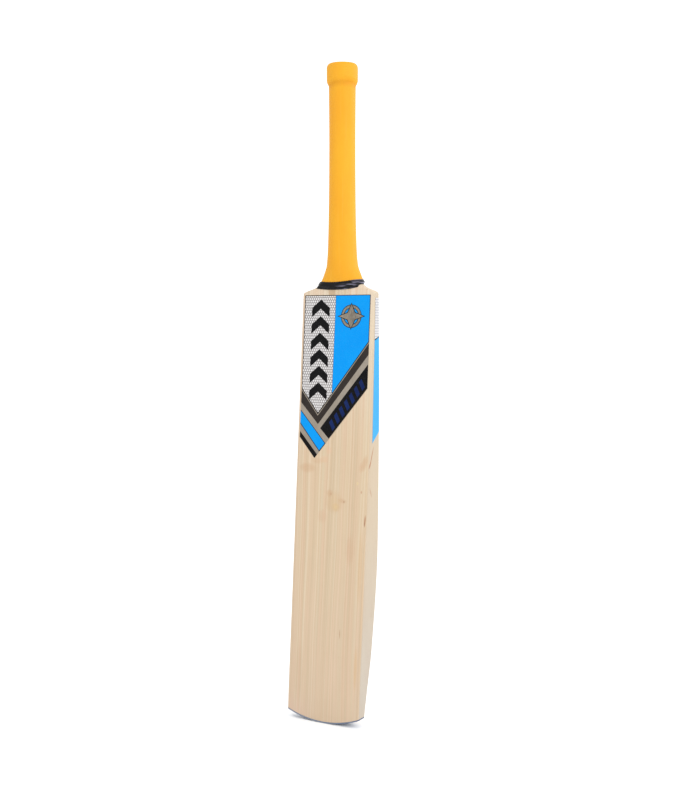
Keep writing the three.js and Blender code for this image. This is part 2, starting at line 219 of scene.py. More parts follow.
def offset(station, z, distance):
    """Points a distance out from the wood's surface."""
    spread = np.broadcast_arrays(station, z, distance)
    station, z, distance = (np.asarray(a, float).ravel() for a in spread)
    around = surface(station + 1.5, z) - surface(station - 1.5, z)
    upward = surface(station, z + 0.5) - surface(station, z - 0.5)
    out = np.cross(around, upward)
    out /= np.linalg.norm(out, axis=1, keepdims=True)
    return surface(station, z) + out * distance[:, None]


# ---- Meshes ----


def new_mesh(name, points, faces):
    """A mesh from points in millimetres above the toe, as metres in the row frame."""
    mesh = bpy.data.meshes.new(name)
    placed = np.asarray(points, float) / 1000 + (0, 0, TOE_LEVEL)
    mesh.from_pydata(placed.tolist(), [], faces)
    shape = bmesh.new()
    shape.from_mesh(mesh)
    bmesh.ops.recalc_face_normals(shape, faces=shape.faces)
    shape.to_mesh(mesh)
    shape.free()
    return mesh


def rings_to_faces(rows, ring, closed):
    """Quads between rows of ring points. closed joins the last row to the first; otherwise the first
    and the last row are capped."""
    faces = []
    for i in range(rows if closed else rows - 1):
        low, high = i * ring, (i + 1) % rows * ring
        for j in range(ring):
            k = (j + 1) % ring
            faces.append((low + j, low + k, high + k, high + j))
    if not closed:
        faces.append(tuple(range(ring)))
        faces.append(tuple(range((rows - 1) * ring, rows * ring)))
    return faces


def prism(outline):
    """A flat outline in X and Z, run right through the bat along Y."""
    count = len(outline)
    points = [(x, y, z) for y in (-REACH, REACH) for x, z in outline]
    faces = [tuple(range(count)), tuple(range(count, 2 * count))]
    faces += [(i, (i + 1) % count, count + (i + 1) % count, count + i) for i in range(count)]
    return new_mesh("prism", points, faces)


def block(low, high):
    (x0, y0, z0), (x1, y1, z1) = low, high
    points = [(x, y, z) for z in (z0, z1) for x, y in ((x0, y0), (x1, y0), (x1, y1), (x0, y1))]
    return new_mesh("block", points, rings_to_faces(2, 4, False))


def cut(mesh, tool, operation):
    """The mesh left by a boolean with the tool."""
    target = bpy.data.objects.new("cut_target", mesh)
    cutter = bpy.data.objects.new("cut_tool", tool)
    for thing in (target, cutter):
        bpy.context.scene.collection.objects.link(thing)
    modifier = target.modifiers.new("cut", "BOOLEAN")
    modifier.operation = operation
    modifier.solver = "EXACT"
    modifier.object = cutter
    graph = bpy.context.evaluated_depsgraph_get()
    result = bpy.data.meshes.new_from_object(target.evaluated_get(graph))
    for thing in (target, cutter):
        bpy.data.objects.remove(thing)
    return result


def add_piece(name, mesh, material, slot, *nodes, sharp=40):
    """Shows a mesh as a piece of the bat, in place of CAD nodes."""
    mesh.materials.clear()
    mesh.materials.append(material)
    mesh.polygons.foreach_set("use_smooth", [True] * len(mesh.polygons))
    mesh.set_sharp_from_angle(angle=math.radians(sharp))
    piece = bpy.data.objects.new(name, mesh)
    bpy.context.scene.collection.objects.link(piece)
    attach(piece, "root")
    if nodes:
        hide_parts(*nodes)
    return piece


# ---- Materials ----


STUDIO_LIGHT = 1.52  # how much brighter than its own colour the studio's light shows a surface


def linear(rgb):
    """The shader's colour for a surface that looks like this sRGB colour of 0 to 255 in the studio."""
    seen = [c / 3294.6 if c <= 10.31 else ((c / 255 + 0.055) / 1.055) ** 2.4 for c in rgb]
    return [c / STUDIO_LIGHT for c in seen]


class Finish:
    """A Principled material, and short names for the nodes that feed it."""

    def __init__(self, name, roughness, **constants):
        self.material = bpy.data.materials.new(name)
        self.material.use_nodes = True
        self.tree = self.material.node_tree
        self.tree.nodes.clear()
        self.shader = self.add("ShaderNodeBsdfPrincipled")
        self.shader.inputs["Roughness"].default_value = roughness
        for key, value in constants.items():
            self.shader.inputs[key.replace("_", " ")].default_value = value
        output = self.add("ShaderNodeOutputMaterial")
        self.tree.links.new(self.shader.outputs[0], output.inputs[0])
        spot = self.add("ShaderNodeTexCoord").outputs["Object"]
        scaled = self.vector("SCALE", spot, scale=1000)
        self.place = self.vector("ADD", scaled, (0, 0, -1000 * TOE_LEVEL))  # mm above the toe
        parts = self.add("ShaderNodeSeparateXYZ")
        self.feed(parts.inputs[0], self.place)
        self.x, self.y, self.z = parts.outputs

    def add(self, kind, **settings):
        node = self.tree.nodes.new(kind)
        for key, value in settings.items():
            setattr(node, key, value)
        return node

    def feed(self, socket, value):
        if isinstance(value, bpy.types.NodeSocket):
            self.tree.links.new(value, socket)
        else:
            socket.default_value = value

    def vector(self, operation, first, second=None, scale=None):
        node = self.add("ShaderNodeVectorMath", operation=operation)
        self.feed(node.inputs[0], first)
        if second is not None:
            self.feed(node.inputs[1], second)
        if scale is not None:
            node.inputs["Scale"].default_value = scale
        return node.outputs["Vector"]

    def math(self, operation, *values):
        node = self.add("ShaderNodeMath", operation=operation)
        for socket, value in zip(node.inputs, values):
            self.feed(socket, value)
        return node.outputs[0]

    def fade(self, value, start, end):
        """0 where value is at start or before it, and 1 at end or past it, with a soft step between."""
        node = self.add("ShaderNodeMapRange", interpolation_type="SMOOTHSTEP")
        self.feed(node.inputs[0], value)
        node.inputs[1].default_value, node.inputs[2].default_value = start, end
        return node.outputs[0]

    def noise(self, size, detail=2.0, place=None, warp=0.0):
        """Noise of 0 to 1 whose features measure size = (x, y, z) millimetres."""
        stretched = self.vector("DIVIDE", self.place if place is None else place, size)
        node = self.add("ShaderNodeTexNoise")
        self.feed(node.inputs["Vector"], stretched)
        node.inputs["Scale"].default_value = 1
        node.inputs["Detail"].default_value = detail
        node.inputs["Distortion"].default_value = warp
        return node.outputs["Fac"]

    def mix(self, share, first, second):
        node = self.add("ShaderNodeMix", data_type="RGBA")
        self.feed(node.inputs[0], share)
        for socket, colour in ((node.inputs[6], first), (node.inputs[7], second)):
            self.feed(socket, (*linear(colour), 1) if isinstance(colour, tuple) else colour)
        return node.outputs[2]

    def tint(self, base, where, strength, colour):
        """Blends a colour into base, by strength at most, as far as where goes from 0 to 1."""
        return self.mix(self.math("MULTIPLY", where, strength), base, colour)

    def bump(self, height, distance):
        """Relief of the given depth in millimetres."""
        node = self.add("ShaderNodeBump")
        node.inputs["Distance"].default_value = distance / 1000
        self.feed(node.inputs["Height"], height)
        self.feed(self.shader.inputs["Normal"], node.outputs[0])

    def colour(self, value):
        self.feed(self.shader.inputs["Base Color"], value)

    def gloss(self, noise, smoothest, roughest):
        node = self.add("ShaderNodeMapRange")
        self.feed(node.inputs[0], noise)
        node.inputs[3].default_value, node.inputs[4].default_value = smoothest, roughest
        self.feed(self.shader.inputs["Roughness"], node.outputs[0])

    def near_face(self):
        """1 on the blade's face, fading to 0 a few millimetres behind it."""
        face_at_toe = 51.3
        behind = self.math("MULTIPLY_ADD", self.z, -FACE_LEAN, face_at_toe)
        return self.fade(self.math("ADD", self.y, behind), 12, 4)

    def spot(self, base, where, across, centre, radii, lean, strength, colour):
        """Blends a soft mark into base. across is the coordinate it is drawn on, with Z: centre and
        radii are millimetres along the two, and lean is its shift across per millimetre of Z."""
        across = self.math("SUBTRACT", across, centre[0])
        along = self.math("SUBTRACT", self.z, centre[1])
        leaned = self.math("MULTIPLY_ADD", along, -lean, across)
        u = self.math("DIVIDE", leaned, radii[0])
        v = self.math("DIVIDE", along, radii[1])
        squared = self.math("MULTIPLY_ADD", u, u, self.math("MULTIPLY", v, v))
        reach = self.math("MULTIPLY", self.fade(squared, 1.0, 0.0), where)
        return self.tint(base, reach, strength, colour)


# Marks in the willow: centre (X, Z), radii, lean, strength, colour.
BLADE_MARKS = [
    ((-37, 328), (15, 8), 0.0, 0.32, (204, 158, 116)),
    ((-22, 338), (12, 5), 0.0, 0.22, (214, 168, 128)),
    ((-12, 340), (7, 6), 0.0, 0.3, (236, 186, 150)),
    ((-5, 352), (5, 6), 0.0, 0.25, (240, 186, 154)),
    ((8, 279.5), (7, 7), 0.0, 0.5, (226, 192, 138)),
    ((8, 279.5), (3, 3), 0.0, 0.4, (240, 216, 160)),
    ((-2, 297), (6, 6), 0.0, 0.4, (208, 166, 128)),
    ((0.2, 296), (1.6, 2.4), 0.0, 0.4, (186, 140, 104)),
    ((17, 288), (8, 4), -0.5, 0.32, (206, 166, 128)),
    ((20, 287), (1.6, 2), 0.0, 0.5, (180, 132, 96)),
    ((-12, 266), (9, 11), 0.0, 0.3, (220, 178, 146)),
    ((39, 312), (2, 3), 0.0, 0.4, (240, 220, 160)),
    ((45, 301), (1.3, 2.5), 0.0, 0.6, (196, 140, 108)),
    ((51.6, 265), (1.4, 9), 0.06, 0.75, (178, 122, 86)),
    ((51.4, 260), (0.9, 4), 0.06, 0.5, (150, 92, 66)),
    ((5, 286), (16, 18), 0.0, 0.36, (214, 178, 136)),
    ((5, 286), (10, 12), 0.0, 0.2, (232, 204, 160)),
    ((21, 117), (0.9, 8), 0.0, 0.5, (180, 130, 92)),
    ((31.5, 225), (7, 24), 0.0, 0.3, (212, 168, 134)),
    ((47, 205), (4, 60), 0.0, 0.3, (220, 180, 128)),
    ((46, 75), (3, 34), 0.0, 0.3, (222, 178, 118)),
    ((48, 338), (5, 13), 0.2, 0.4, (212, 164, 124)),
    ((43, 332), (4, 8), 0.0, 0.25, (216, 170, 134)),
    ((52.2, 150), (2, 95), 0.0, 0.2, (226, 186, 144)),
    ((-24, 150), (9, 60), 0.02, 0.16, (238, 206, 180)),
    ((8, 60), (12, 40), 0.02, 0.14, (236, 208, 184)),
    ((-38, 60), (8, 50), 0.0, 0.16, (196, 160, 128)),
]


# Marks on the right side: centre (Y, Z) and the rest as above.
SIDE_MARKS = [
    ((-18.5, 346), (1.3, 17), 0.4, 0.9, (176, 112, 74)),
    ((-23, 336), (1.6, 6), 0.5, 0.9, (172, 108, 68)),
    ((-21, 300), (1.5, 8), -0.4, 0.7, (190, 146, 122)),
    ((-19.7, 141), (0.9, 5), 0.0, 0.4, (180, 150, 130)),
]


def willow():
    finish = Finish("willow_wood", 0.5, Specular_IOR_Level=0.25)
    drift = finish.noise((45, 60, 260), 1)
    bend = finish.math("MULTIPLY_ADD", drift, 9, finish.x)
    joined = finish.add("ShaderNodeCombineXYZ")
    finish.feed(joined.inputs[0], bend)
    finish.feed(joined.inputs[1], finish.y)
    finish.feed(joined.inputs[2], finish.z)
    along_grain = joined.outputs[0]
    rings = finish.noise((1.8, 60, 1400), 2, along_grain)
    bands = finish.noise((11, 90, 2200), 1, along_grain)
    fibres = finish.noise((0.5, 3, 42), 3, along_grain)
    flecks = finish.noise((0.7, 1.2, 9), 2)
    patches = finish.noise((16, 40, 120), 2)
    base = finish.mix(finish.fade(finish.z, 0, 330), (223, 199, 171), (227, 203, 170))
    base = finish.mix(finish.fade(finish.z, 330, 556), base, (241, 222, 197))
    base = finish.tint(base, finish.fade(bands, 0.42, 0.62), 0.35, (222, 194, 162))
    base = finish.tint(base, finish.fade(patches, 0.5, 0.7), 0.4, (229, 200, 170))
    tints = finish.noise((4.4, 60, 900), 1, along_grain)
    base = finish.tint(base, finish.fade(tints, 0.52, 0.66), 0.4, (220, 204, 174))
    base = finish.tint(base, finish.fade(tints, 0.48, 0.34), 0.4, (230, 197, 168))
    base = finish.tint(base, finish.fade(rings, 0.5, 0.68), 0.38, (206, 176, 142))
    base = finish.tint(base, finish.fade(rings, 0.46, 0.32), 0.4, (238, 222, 194))
    base = finish.tint(base, finish.fade(fibres, 0.54, 0.75), 0.2, (202, 168, 134))
    base = finish.tint(base, finish.fade(flecks, 0.68, 0.8), 0.25, (186, 146, 108))
    base = finish.tint(base, finish.fade(finish.x, -41, -52), 0.3, (216, 182, 156))
    rosy = finish.math("MULTIPLY", finish.fade(finish.z, 40, 0), finish.fade(finish.x, -10, -40))
    base = finish.tint(base, rosy, 0.4, (228, 196, 178))
    beside = finish.fade(finish.math("ABSOLUTE", finish.x), 52.6, 53.9)
    side_tone = finish.mix(finish.fade(finish.z, 330, 0), (206, 188, 164), (194, 187, 178))
    base = finish.tint(base, beside, 0.7, side_tone)
    where = finish.near_face()
    for mark in BLADE_MARKS:
        base = finish.spot(base, where, finish.x, *mark)
    where = finish.fade(finish.x, 52.6, 53.4)
    for mark in SIDE_MARKS:
        base = finish.spot(base, where, finish.y, *mark)
    finish.colour(base)
    finish.gloss(fibres, 0.42, 0.62)
    finish.bump(finish.math("ADD", fibres, finish.math("MULTIPLY", rings, 0.6)), 0.05)
    return finish.material


def cane():
    finish = Finish("cane_wood", 0.45)
    slips = finish.noise((2.2, 2.2, 600), 2)
    fibres = finish.noise((0.35, 0.35, 30), 2)
    base = finish.mix(finish.fade(slips, 0.35, 0.65), (230, 210, 180), (220, 197, 164))
    left_column = finish.fade(finish.x, -COLUMN_SPLIT + 0.3, -COLUMN_SPLIT - 0.3)
    base = finish.tint(base, left_column, 0.75, (200, 170, 134))
    base = finish.tint(base, finish.fade(fibres, 0.5, 0.75), 0.32, (180, 142, 102))
    sawn = finish.math("GREATER_THAN", finish.z, HANDLE_TOP - 0.05)
    pores = finish.add("ShaderNodeTexVoronoi", voronoi_dimensions="2D", feature="F1")
    finish.feed(pores.inputs["Vector"], finish.vector("DIVIDE", finish.place, (0.75, 0.75, 1)))
    hole = finish.fade(pores.outputs["Distance"], 0.34, 0.16)
    base = finish.tint(base, sawn, 0.4, (176, 130, 84))
    base = finish.tint(base, finish.math("MULTIPLY", hole, sawn), 0.75, (74, 46, 26))
    finish.colour(base)
    finish.gloss(fibres, 0.38, 0.6)
    finish.bump(fibres, 0.04)
    return finish.material


def grip_rubber():
    finish = Finish("orange_rubber", 0.6, Specular_IOR_Level=0.2)
    clouds = finish.noise((26, 26, 60), 3)
    grit = finish.noise((0.45, 0.45, 0.45), 2)
    streaks = finish.noise((2.4, 2.4, 90), 2)
    base = finish.mix(finish.fade(clouds, 0.3, 0.7), (251, 175, 33), (253, 182, 37))
    base = finish.tint(base, finish.fade(grit, 0.45, 0.75), 0.14, (240, 160, 30))
    base = finish.tint(base, finish.fade(streaks, 0.55, 0.8), 0.15, (255, 202, 96))
    # Painted shade under the collar: a darker band just below its lower edge, raised towards the front
    # right as that edge is.
    facing = finish.math("MULTIPLY", finish.x, LIFT_TOWARDS[0])
    facing = finish.math("MULTIPLY_ADD", finish.y, LIFT_TOWARDS[1], facing)
    facing = finish.fade(facing, 0, COLLAR_RADIUS)
    lift = finish.math("MULTIPLY", finish.math("POWER", facing, 1.5), COLLAR_LIFT)
    below = finish.math("SUBTRACT", finish.z, lift)
    collar_painted_shade = finish.math("MULTIPLY", finish.fade(below, 815, 822.5), finish.fade(below, 827, 823))
    base = finish.tint(base, collar_painted_shade, 0.5, (224, 148, 18))
    finish.colour(base)
    finish.gloss(clouds, 0.5, 0.62)
    finish.bump(finish.math("MULTIPLY_ADD", grit, 0.6, streaks), 0.06)
    return finish.material


def gloss_tape():
    finish = Finish("black_tape", 0.2, Specular_IOR_Level=0.14)
    creases = finish.noise((9, 9, 1.6), 3, warp=0.6)
    dust = finish.noise((0.5, 0.5, 0.5), 2)
    sheen = finish.noise((22, 22, 2.2), 2, warp=0.3)
    base = finish.mix(finish.fade(creases, 0.4, 0.7), (11, 10, 12), (22, 20, 25))
    # Painted highlight: pale streaks on the tape's right side, towards the key lamp, stand in for gloss
    # on its creases.
    painted_highlight = finish.math("MULTIPLY", finish.fade(sheen, 0.46, 0.62), finish.fade(finish.x, -6, 14))
    base = finish.tint(base, painted_highlight, 0.85, (140, 137, 158))
    finish.colour(finish.tint(base, finish.fade(dust, 0.6, 0.8), 0.3, (38, 36, 44)))
    finish.gloss(creases, 0.14, 0.34)
    finish.bump(finish.math("MULTIPLY_ADD", dust, 0.1, creases), 0.25)
    return finish.material


def guard_rubber():
    finish = Finish("toe_rubber", 0.5)
    clouds = finish.noise((8, 8, 2), 3)
    grit = finish.noise((0.3, 0.3, 0.3), 2)
    base = finish.mix(finish.fade(clouds, 0.3, 0.7), (116, 128, 150), (134, 144, 162))
    base = finish.mix(finish.fade(finish.x, 10, 52), base, (92, 108, 140))
    finish.colour(finish.tint(base, finish.fade(grit, 0.55, 0.8), 0.3, (70, 80, 100)))
    finish.gloss(clouds, 0.42, 0.6)
    finish.bump(grit, 0.04)
    return finish.material


def spring_rubber():
    finish = Finish("spring_rubber", 0.75)
    grit = finish.noise((0.3, 0.3, 0.3), 3)
    finish.colour(finish.mix(grit, (34, 31, 28), (58, 52, 46)))
    finish.gloss(grit, 0.65, 0.85)
    finish.bump(grit, 0.05)
    return finish.material


def twine():
    finish = Finish("waxed_twine", 0.8)
    turns = finish.math("FRACT", finish.math("DIVIDE", finish.z, 0.8))
    crown = finish.math("SINE", finish.math("MULTIPLY", turns, math.pi))
    fuzz = finish.noise((0.25, 0.25, 0.6), 3)
    # Darker between the turns and paler on their crowns: painted shade in the grooves, with crown also
    # shaping the bump.
    base = finish.mix(crown, (26, 24, 22), (64, 60, 54))
    finish.colour(finish.tint(base, fuzz, 0.4, (92, 86, 78)))
    finish.gloss(fuzz, 0.7, 0.9)
    finish.bump(finish.math("MULTIPLY_ADD", fuzz, 0.3, crown), 0.3)
    return finish.material


def film(name, colour, deep, roughness=0.3, sparkle=0.0, **constants):
    """Printed plastic film: the ink's faint mottle, a fine screen of specks and an uneven gloss."""
    finish = Finish(name, roughness, **constants)
    clouds = finish.noise((16, 16, 22), 3)
    specks = finish.noise((0.5, 0.5, 0.5), 2)
    base = finish.mix(finish.fade(clouds, 0.3, 0.7), colour, deep)
    if sparkle:
        # sparkle paints glints: fine pale streaks in the colour stand in for light caught by the foil.
        glint_streaks = finish.noise((0.4, 0.4, 7), 2)
        share = finish.math("MULTIPLY", finish.fade(glint_streaks, 0.4, 0.75), sparkle)
        base = finish.mix(share, base, (226, 218, 206))
    share = finish.math("MULTIPLY", finish.fade(specks, 0.5, 0.8), 0.04)
    finish.colour(finish.mix(share, base, (255, 255, 255)))
    finish.gloss(clouds, roughness * 0.8, roughness * 1.2)
    finish.bump(finish.math("MULTIPLY_ADD", specks, 0.2, clouds), 0.03)
    return finish.material


def mesh_film(name, across, ink):
    """White film printed with a fine honeycomb. across is the coordinate it is drawn on, with Z."""
    finish = Finish(name, 0.32, Specular_IOR_Level=0.2)
    pitch = 3.25
    rows = pitch * math.sqrt(3)
    tall = 1.19  # the cells are this much taller than regular hexagons
    first, second = getattr(finish, across), finish.math("DIVIDE", finish.z, tall)

    def from_nearest(shift_u, shift_v):
        u = finish.math("WRAP", finish.math("ADD", first, shift_u), pitch / 2, -pitch / 2)
        v = finish.math("WRAP", finish.math("ADD", second, shift_v), rows / 2, -rows / 2)
        return finish.math("ABSOLUTE", u), finish.math("ABSOLUTE", v)

    def hexagon(u, v):
        slanted = finish.math("MULTIPLY_ADD", v, math.sqrt(3) / 2, finish.math("MULTIPLY", u, 0.5))
        return finish.math("MAXIMUM", u, slanted)

    size = finish.math(
        "MINIMUM", hexagon(*from_nearest(0, 0)), hexagon(*from_nearest(pitch / 2, rows / 2))
    )
    line = finish.fade(size, pitch * 0.33, pitch * 0.41)
    inner = finish.fade(size, pitch * 0.3, 0.0)
    tone = finish.noise((1.7, 1.7, 1.7), 1)
    base = finish.mix(finish.fade(tone, 0.35, 0.65), (242, 240, 240), (230, 227, 226))
    base = finish.tint(base, inner, 0.25, (250, 250, 250))
    finish.colour(finish.tint(base, line, 0.9, ink))
    finish.gloss(tone, 0.26, 0.4)
    finish.bump(finish.math("SUBTRACT", 1.0, line), 0.06)
    return finish.material


WILLOW = willow()
CANE = cane()
ORANGE = grip_rubber()
TAPE = gloss_tape()
GUARD = guard_rubber()
SPRING = spring_rubber()
TWINE = twine()
SILVER = film("silver_film", (164, 153, 139), (152, 142, 128), 0.34, 0.14, Specular_IOR_Level=0.15)
BLUE = film("blue_film", (0, 158, 251), (4, 163, 253), 0.3, Specular_IOR_Level=0.04)
# The side labels' blue is the face's blue ink made paler: a painted sheen of the light falling on the
# sides.
SIDE_BLUE_PAINTED_SHEEN = film("side_blue_painted_sheen_film", (49, 174, 240), (57, 177, 242), 0.3, Specular_IOR_Level=0.15)
BRONZE = film("bronze_film", (54, 47, 42), (46, 40, 36), 0.36, 0.0, Specular_IOR_Level=0.08)
BLACK = film("black_film", (10, 10, 11), (15, 14, 16), 0.3, Specular_IOR_Level=0.05)
NAVY = film("navy_film", (14, 34, 88), (18, 42, 100), 0.32, Specular_IOR_Level=0.05)
BADGE = film("badge_foil", (134, 124, 108), (112, 102, 88), 0.3, 0.3, Specular_IOR_Level=0.3)
MESH_ON_FACE = mesh_film("mesh_film", "x", (118, 112, 110))
MESH_ON_SIDE = mesh_film("mesh_film_side", "y", (158, 160, 170))

# ---- Blade, toe guard and handle ----


def spaced(*parts):
    """Heights from runs of (from, to, step), without repeats."""
    runs = [np.linspace(a, b, max(2, round((b - a) / step) + 1)) for a, b, step in parts]
    return sorted({round(float(z), 3) for z in np.concatenate(runs)})


def wood_envelope():
    heights = spaced(
        (-15, 60, 7.5), (60, 540, 12), (540, 554.5, 4.8), (554.5, 562, 0.5), (562, 576, 1),
        (576, 613, 2.5), (613, HANDLE_TOP, 12),
    )
    ring = np.arange(RING)
    points = np.concatenate([surface(ring, z) for z in heights])
    return new_mesh("wood", points, rings_to_faces(len(heights), RING, False))


def below_toe(raised):
    radius = (TOE_HALF_WIDTH**2 + TOE_RISE**2) / (2 * TOE_RISE)
    reach = math.asin((TOE_HALF_WIDTH + 12) / radius)
    turns = np.linspace(-reach, reach, 97)
    outline = [(radius * math.sin(t), radius + raised - radius * math.cos(t)) for t in turns]
    return prism([*outline, (REACH, -REACH), (-REACH, -REACH)])


def handle_region(clearance):
    right = [
        (SPLICE_BLUNT * SPLICE_SLOPE + clearance, SPLICE_TIP + SPLICE_BLUNT - clearance),
        ((SPLICE_TOP - SPLICE_TIP) * SPLICE_SLOPE + clearance, SPLICE_TOP - clearance),
        (BEVEL_HALF_WIDTH, SPLICE_TOP + BEVEL_HEIGHT - clearance),
        (BEVEL_HALF_WIDTH, LENGTH + REACH),
    ]
    return prism([*right, *[(-x, z) for x, z in reversed(right)]])


wood = wood_envelope()
blade = cut(wood, below_toe(TOE_GUARD + GLUE_LINE), "DIFFERENCE")
blade = cut(blade, handle_region(GLUE_LINE), "DIFFERENCE")
add_piece("willow_blade", blade, WILLOW, "willow", "blade")

guard = cut(cut(wood, below_toe(TOE_GUARD), "INTERSECT"), below_toe(0), "DIFFERENCE")
add_piece("rubber_toe_guard", guard, GUARD, "toe_guard", "toe_guard")

handle = cut(wood, handle_region(0), "INTERSECT")
half_line = GLUE_LINE / 2
columns = {
    "left": (-REACH, -COLUMN_SPLIT - half_line),
    "centre": (-COLUMN_SPLIT + half_line, COLUMN_SPLIT - half_line),
    "right": (COLUMN_SPLIT + half_line, REACH),
}
for row, (y_from, y_to) in {"front": (-REACH, -SPRING_EDGE), "back": (SPRING_EDGE, REACH)}.items():
    for column, (x_from, x_to) in columns.items():
        cell = block((x_from, y_from, 0), (x_to, y_to, LENGTH))
        name = f"cane_{row}_{column}"
        add_piece(f"{name}_slip", cut(handle, cell, "INTERSECT"), CANE, "cane", name)

# ---- Grip and tape ----


def sleeve(name, rows):
    """A sleeve right round the wood. rows is a list of (heights, distances) round the ring."""
    ring = np.arange(RING)
    points = np.concatenate([offset(ring, z, distance) for z, distance in rows])
    return new_mesh(name, points, rings_to_faces(len(rows), RING, True))


RING_STATIONS = np.arange(RING)
NECK_POINTS = surface(RING_STATIONS, NECK_END)
NECK_FRONT_DEPTH, NECK_BACK_DEPTH = (through(n, np.array(NECK_END)) for n in (NECK_FRONT, NECK_BACK))
NECK_DEPTH = np.where(NECK_POINTS[:, 1] < 0, NECK_FRONT_DEPTH, NECK_BACK_DEPTH)
TAPE_LOW = TAPE_SIDE - TAPE_DIP * np.abs(NECK_POINTS[:, 1] / NECK_DEPTH) ** 3


def tape_height(share):
    """Heights round the tape at a share of its width, from its lower edge to its upper one."""
    return TAPE_LOW + (TAPE_TOP - TAPE_LOW) * share + TAPE_TILT * NECK_POINTS[:, 0]


def grip_rows():
    under_tape = [tape_height(share) for share in (0.45, 0.72, 1)]
    heights = [np.full(RING, z) for z in spaced((577, 613, 4), (613, 816, 9), (816, 838, 0.9))]
    facing = surface(RING_STATIONS, HANDLE_TOP)[:, :2] @ LIFT_TOWARDS / NECK_BACK[-1][1]
    lift = COLLAR_LIFT * np.clip(facing, 0, 1) ** 1.5
    outer = [(z, through(GRIP_OUTER, z)) for z in under_tape]
    outer += [(z, through(GRIP_OUTER, z - lift)) for z in heights]
    full = GRIP_OUTER[-1][1]
    rim = []
    for angle in np.linspace(0, math.pi / 2, 9):
        z = LENGTH - RIM_DEPTH * (1 - math.sin(angle))
        rim.append((z, full - RIM_RADIUS * (1 - math.cos(angle))))
    lip = [
        (LENGTH, full - RIM_RADIUS - 0.5), (LENGTH - 0.35, GRIP_INNER + 0.25),
        (LENGTH - 1.2, GRIP_INNER),
    ]
    inner = [(z, GRIP_INNER) for z in reversed([*under_tape, *heights])]
    return [*outer, *rim, *lip, *inner]


grip = sleeve("grip", grip_rows())
add_piece("orange_grip", grip, ORANGE, "grip_rubber", "rubber_grip")


def tape_rows():
    """The tape climbs from the wood onto the grip, and each turn of it laps the one below."""
    on_grip = through(GRIP_OUTER, np.array(TAPE_TOP)) + 0.3
    turn = RING_STATIONS / RING
    under, over = [], []
    for share in np.linspace(0, 1, 34):
        rest = np.interp(share, [0, 0.2, 0.38, 1], [0.3, 0.8, on_grip, on_grip])
        lap = np.mod(share * TAPE_TURNS + turn, 1)
        lapped = TAPE_LAP * np.clip(lap * 12, 0, 1) * np.clip((1 - lap) * 1.4, 0, 1)
        edge = math.sqrt(max(0.0, 1 - (2 * share - 1) ** 14))
        under.append((tape_height(share), rest))
        over.append((tape_height(share), rest + 0.12 + (0.26 + lapped) * edge))
    return [*under, *reversed(over)]


add_piece("base_tape_wrap", sleeve("tape", tape_rows()), TAPE, "base_tape", "base_tape", sharp=60)

# ---- Labels ----


def on_face(x, z, lift):
    return np.stack([x, face_y(z) - lift, z], -1)


def on_back(x, z, lift):
    step = 0.2
    slope_x = (back_y(x + step, z) - back_y(x - step, z)) / (2 * step)
    slope_z = (back_y(x, z + step) - back_y(x, z - step)) / (2 * step)
    out = np.stack([-slope_x, np.ones_like(x), -slope_z], -1)
    out /= np.linalg.norm(out, axis=1, keepdims=True)
    return np.stack([x, back_y(x, z), z], -1) + out * lift


def on_side(sign):
    """A map for labels on one side, that takes Y as if the side were flat and bends what is past its
    end round the corners."""

    def place(y, z, lift):
        sections = half_sections(z)
        travel = y - face_y(z) - FACE_EDGE_RADIUS
        points = np.empty((len(y), 3))
        for i, section in enumerate(sections):
            run = np.concatenate([[0], np.cumsum(np.linalg.norm(np.diff(section, axis=0), axis=1))])
            run -= run[SIDE_START]
            where = np.interp([travel[i] - 0.3, travel[i], travel[i] + 0.3], run, np.arange(len(run)))
            x, depth = (np.interp(where, np.arange(len(run)), section[:, k]) for k in (0, 1))
            out = np.array([depth[2] - depth[0], x[0] - x[2]])
            out /= np.linalg.norm(out)
            points[i] = sign * (x[1] + out[0] * lift), depth[1] + out[1] * lift, z[i]
        return points

    return place


def sheet(name, outlines, place, lift, thickness, cuts_u=(), cuts_v=()):
    """A thin film over the polygons in outlines, bent onto the bat by place."""
    shape = bmesh.new()
    for outline in outlines:
        shape.faces.new([shape.verts.new((u, 0, v)) for u, v in outline])
    bmesh.ops.remove_doubles(shape, verts=shape.verts, dist=1e-4)
    bmesh.ops.triangulate(shape, faces=shape.faces)
    for normal, values in (((1, 0, 0), cuts_u), ((0, 0, 1), cuts_v)):
        for value in values:
            parts = [*shape.verts, *shape.edges, *shape.faces]
            spot = [value * n for n in normal]
            bmesh.ops.bisect_plane(shape, geom=parts, dist=1e-4, plane_co=spot, plane_no=normal)
    shape.verts.index_update()
    flat = np.array([(v.co.x, v.co.z) for v in shape.verts])
    faces = [tuple(v.index for v in face.verts) for face in shape.faces]
    rim = [tuple(v.index for v in edge.verts) for edge in shape.edges if edge.is_boundary]
    shape.free()
    count = len(flat)
    points = np.concatenate([place(flat[:, 0], flat[:, 1], high) for high in (lift, lift + thickness)])
    faces += [tuple(i + count for i in reversed(face)) for face in faces]
    faces += [(a, b, b + count, a + count) for a, b in rim]
    return new_mesh(name, points, faces)


FACE_CUTS = np.arange(348, 554, 12)
FILM_LIFT = 0.05
FILM_THICKNESS = 0.15
PRINT_THICKNESS = 0.025


def face_print(name, outlines, material, layer, *nodes):
    """One printed field of the face label, layer steps above the silver film."""
    lift = FILM_LIFT + FILM_THICKNESS + (layer - 1) * PRINT_THICKNESS
    mesh = sheet(name, outlines, on_face, lift, PRINT_THICKNESS, cuts_v=FACE_CUTS)
    add_piece(name, mesh, material, "label_film", *nodes, sharp=30)


LABEL_OUTLINE = [(-50, 554.2), (-50.6, 367.8), (-26.9, 341), (48.2, 433.9), (48.2, 554.2)]
backing = sheet("backing", [LABEL_OUTLINE], on_face, FILM_LIFT, FILM_THICKNESS, cuts_v=FACE_CUTS)
add_piece("face_label_backing", backing, SILVER, "label_film", "face_label", sharp=30)

